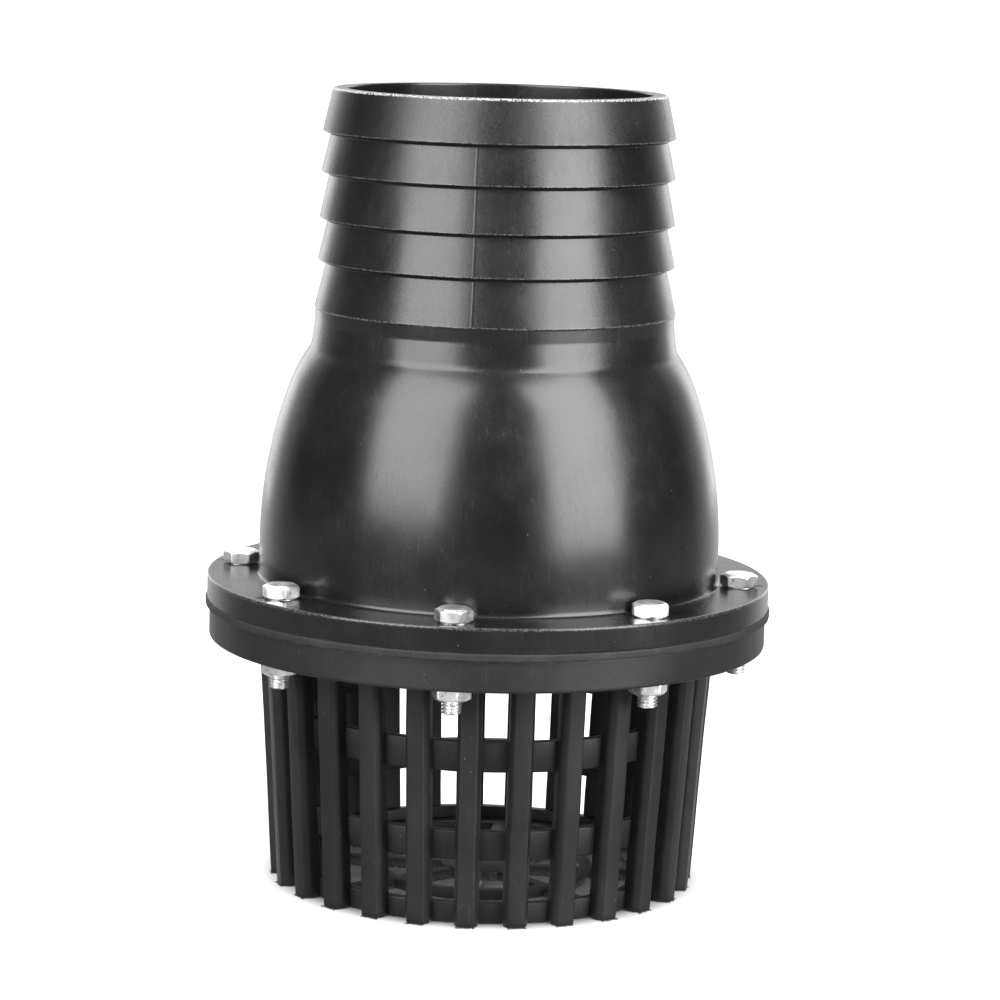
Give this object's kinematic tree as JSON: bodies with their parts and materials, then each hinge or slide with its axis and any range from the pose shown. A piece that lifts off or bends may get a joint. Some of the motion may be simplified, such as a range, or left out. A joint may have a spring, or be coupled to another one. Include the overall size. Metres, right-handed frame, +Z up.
{
  "type": "foot valve",
  "caption": "Plastic foot valve with a barbed hose tail, a bolted flange, a hinged rubber flap check and a slotted strainer basket.",
  "frame": {"origin": "on the flow axis, in the plane of the strainer's feet", "axes": "+Z up along the flow axis towards the hose tail; two flange bolts lie on the X axis and two on the Y axis; the flap hinges on the +Y side"},
  "size_m": [0.1706, 0.1706, 0.238],
  "materials": {
    "body_plastic": "satin",
    "basket_plastic": "matte",
    "rubber": "matte",
    "zinc_steel": "satin"
  },
  "bodies": {
    "housing": {"valve_body": "body_plastic", "strainer_basket": "basket_plastic", "seat_plate": "basket_plastic", "gasket_ring": "rubber", "hinge_web": "rubber", "flange_bolt_1": "zinc_steel", "flange_bolt_2": "zinc_steel", "flange_bolt_3": "zinc_steel", "flange_bolt_4": "zinc_steel", "flange_bolt_5": "zinc_steel", "flange_bolt_6": "zinc_steel", "flange_bolt_7": "zinc_steel", "flange_bolt_8": "zinc_steel", "flange_nut_1": "zinc_steel", "flange_nut_2": "zinc_steel", "flange_nut_3": "zinc_steel", "flange_nut_4": "zinc_steel", "flange_nut_5": "zinc_steel", "flange_nut_6": "zinc_steel", "flange_nut_7": "zinc_steel", "flange_nut_8": "zinc_steel"},
    "flap": {"flap_disc": "rubber", "flap_top_plate": "zinc_steel", "flap_bottom_plate": "zinc_steel", "flap_washer": "zinc_steel", "flap_bolt": "zinc_steel", "flap_nut": "zinc_steel"}
  },
  "joints": [
    {"name": "flap_hinge", "type": "hinge", "parent": "housing", "child": "flap", "pos_m": [0, 0.054, 0.08415], "axis": [-1, 0, 0], "range_deg": [0, 66], "deforming": ["hinge_web"]}
  ]
}
